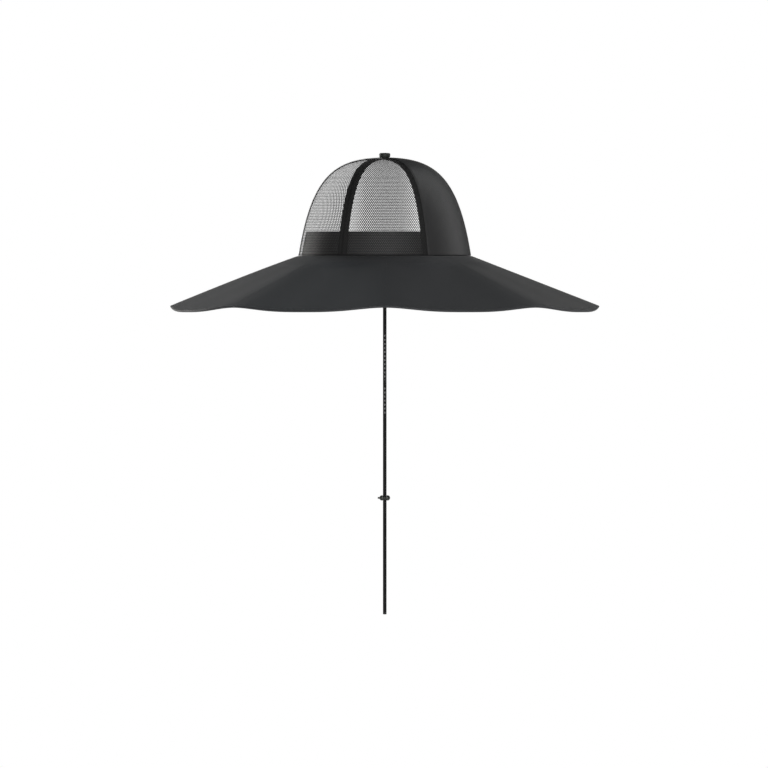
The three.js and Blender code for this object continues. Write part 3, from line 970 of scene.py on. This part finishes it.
def crownRow(stitch, seam, sideways, depth, inside, lastClimb):
    firstClimb = stitching["crownStart"]
    path = []
    for step in range(91):
        climb = firstClimb + (lastClimb - firstClimb) * step / 90
        angle = math.radians(seam) + turnFor(sideways, math.radians(seam), climb)
        outward = Vector(crownNormals(angle, climb))
        path.append((Vector(crownSpots(angle, climb, depth)), -outward if inside else outward))
    return stitchesAlong(path, stitch)


def bandRow(stitch, height):
    climb = float(np.interp(height, outlineHeight, outlineClimb))
    depth = sweatband["setIn"] + sweatband["thick"]
    path = []
    for step in range(361):
        angle = fullTurn * step / 360
        path.append((Vector(crownSpots(angle, climb, depth)), -Vector(crownNormals(angle, climb))))
    return stitchesAlong(path, stitch)


def tabRows():
    inset = cordTab["seamInset"]
    wide = cordTab["width"] / 2 - inset
    top, foot = cordTab["top"] - inset, cordTab["top"] - cordTab["height"] + inset
    corners = [(-wide, foot), (wide, foot), (wide, top), (-wide, top), (-wide, foot)]
    rows = []
    for side in (-1, 1):
        for face in (-1, 1):
            sideways = side * cordTab["sideways"] + face * cordTab["thick"] / 2
            for ends in zip(corners, corners[1:]):
                path = [(Vector((x, sideways, z)), Vector((0, face, 0))) for x, z in ends]
                rows += stitchesAlong(path, cordTab["stitch"])
    return rows


def makeStitches():
    beside, sink = stitching["besideSeam"], stitching["crownSink"]
    crownRows = []
    for seam, sideways in ((0, beside), (0, -beside), (60, -beside), (300, beside)):
        crownRows += crownRow(stitching["crown"], seam, sideways, sink, False, tapeClimb)
    insideRows = tabRows()
    edge = seamTape["width"] / 2 - stitching["tapeInset"]
    lastClimb = stitching["tapeShare"] * tapeClimb
    for node, seam in seamTape["seams"].items():
        depth = seamTape["depthUnderMesh" if "back" in node else "depthUnderCloth"] + seamTape["thick"]
        for sideways in (-edge, edge):
            insideRows += crownRow(stitching["inside"], seam, sideways, depth, True, lastClimb)
    for height in (stitching["bandFoot"], stitching["bandTop"]):
        insideRows += bandRow(stitching["inside"], height)
    makePiece("brim_stitches", sewStitches(brimRows()), thread)
    makePiece("crown_stitches", sewStitches(crownRows), thread)
    makePiece("inside_stitches", sewStitches(insideRows), thread)


makeStitches()
print("seams stitched")

# Studio: a pale floor under the hat, white all round for the camera, and soft boxes behind and beside it
studio = {
    "floorHeight": -0.66, "floorSize": 16, "floorColour": (0.82, 0.82, 0.82), "floorRoughness": 0.9,
    "floorGlow": 0.2, "floorSeenGlow": 0.35,  # the second is for the camera alone and lights nothing
    "middle": (0, 0, 0.02), "boxSize": 1.0, "boxDistance": 2.5,
    # each soft box: degrees round from the camera towards the hat's front, degrees up, watts, colour
    "boxes": {
        "besideCamera": (0, 5, 26.5, (1, 1, 1)),
        "rightLow": (110, 5, 6.2, (1, 1, 1)),
        "rightMiddle": (110, 30, 6.9, (1, 1, 1)),
        "rightHigh": (110, 58, 6.2, (0.94, 0.98, 1)),
        "rightTop": (70, 58, 4.6, (1, 0.98, 0.94)),
        "behind": (172, 5, 1.0, (1, 0.95, 0.88)),
        "behindRight": (150, 30, 0.56, (1, 1, 0.95)),
        "leftLow": (-130, 5, 23.0, (1, 0.98, 0.95)),
        "behindLeft": (-150, 30, 1.8, (1, 1, 1)),
        "behindTop": (-150, 58, 1.9, (0.82, 0.94, 1)),
    },
}


def floorPaint():
    # pale and softly lit from above, and clear from below, so that the hat's inside can be looked at
    paint, tree, painted = newMaterial("floorPaint")
    painted.inputs["Base Color"].default_value = (*studio["floorColour"], 1)
    painted.inputs["Roughness"].default_value = studio["floorRoughness"]
    painted.inputs["Emission Color"].default_value = (1, 1, 1, 1)
    cameraRay = addNode(tree, "ShaderNodeLightPath").outputs["Is Camera Ray"]
    seenGlow = maths(tree, "MULTIPLY", cameraRay, studio["floorSeenGlow"])
    feed(tree, painted.inputs["Emission Strength"], maths(tree, "ADD", seenGlow, studio["floorGlow"]))
    fromBelow = addNode(tree, "ShaderNodeNewGeometry").outputs["Backfacing"]
    clear = addNode(tree, "ShaderNodeBsdfTransparent")
    either = addNode(tree, "ShaderNodeMixShader")
    feed(tree, either.inputs[0], maths(tree, "MULTIPLY", cameraRay, fromBelow))
    tree.links.new(painted.outputs[0], either.inputs[1])
    tree.links.new(clear.outputs[0], either.inputs[2])
    tree.links.new(either.outputs[0], tree.nodes["Material Output"].inputs["Surface"])
    return paint


def lightStudio():
    scene.view_settings.view_transform = "Standard"
    bm = bmesh.new()
    bmesh.ops.create_grid(bm, x_segments=1, y_segments=1, size=studio["floorSize"] / 2)
    bmesh.ops.translate(bm, verts=bm.verts, vec=(0, 0, studio["floorHeight"]))
    mesh = bpy.data.meshes.new("floor")
    bm.to_mesh(mesh)
    bm.free()
    floor = bpy.data.objects.new("floor", mesh)
    scene.collection.objects.link(floor)
    mesh.materials.append(floorPaint())
    world = bpy.data.worlds.new("studio")
    scene.world = world
    world.use_nodes = True
    tree = world.node_tree
    tree.nodes.clear()
    seen = addNode(tree, "ShaderNodeBackground")
    seen.inputs["Color"].default_value = (1, 1, 1, 1)
    seen.inputs["Strength"].default_value = 1.0
    lit = addNode(tree, "ShaderNodeBackground")
    lit.inputs["Strength"].default_value = 0
    rays = addNode(tree, "ShaderNodeLightPath")
    either = addNode(tree, "ShaderNodeMixShader")
    output = addNode(tree, "ShaderNodeOutputWorld")
    tree.links.new(rays.outputs["Is Camera Ray"], either.inputs[0])
    tree.links.new(lit.outputs[0], either.inputs[1])
    tree.links.new(seen.outputs[0], either.inputs[2])
    tree.links.new(either.outputs[0], output.inputs["Surface"])
    middle = Vector(studio["middle"])
    for name, (degreesRound, degreesUp, power, colour) in studio["boxes"].items():
        turn, rise = math.radians(degreesRound), math.radians(degreesUp)
        towards = Vector((math.sin(turn) * math.cos(rise), -math.cos(turn) * math.cos(rise), math.sin(rise)))
        lamp = bpy.data.lights.new(name, "AREA")
        lamp.shape = "SQUARE"
        lamp.size = studio["boxSize"]
        lamp.energy = power
        lamp.color = colour
        light = bpy.data.objects.new(name, lamp)
        light.location = middle + towards * studio["boxDistance"]
        light.rotation_euler = (-towards).to_track_quat("-Z", "Y").to_euler()
        scene.collection.objects.link(light)


lightStudio()
print("studio lit")
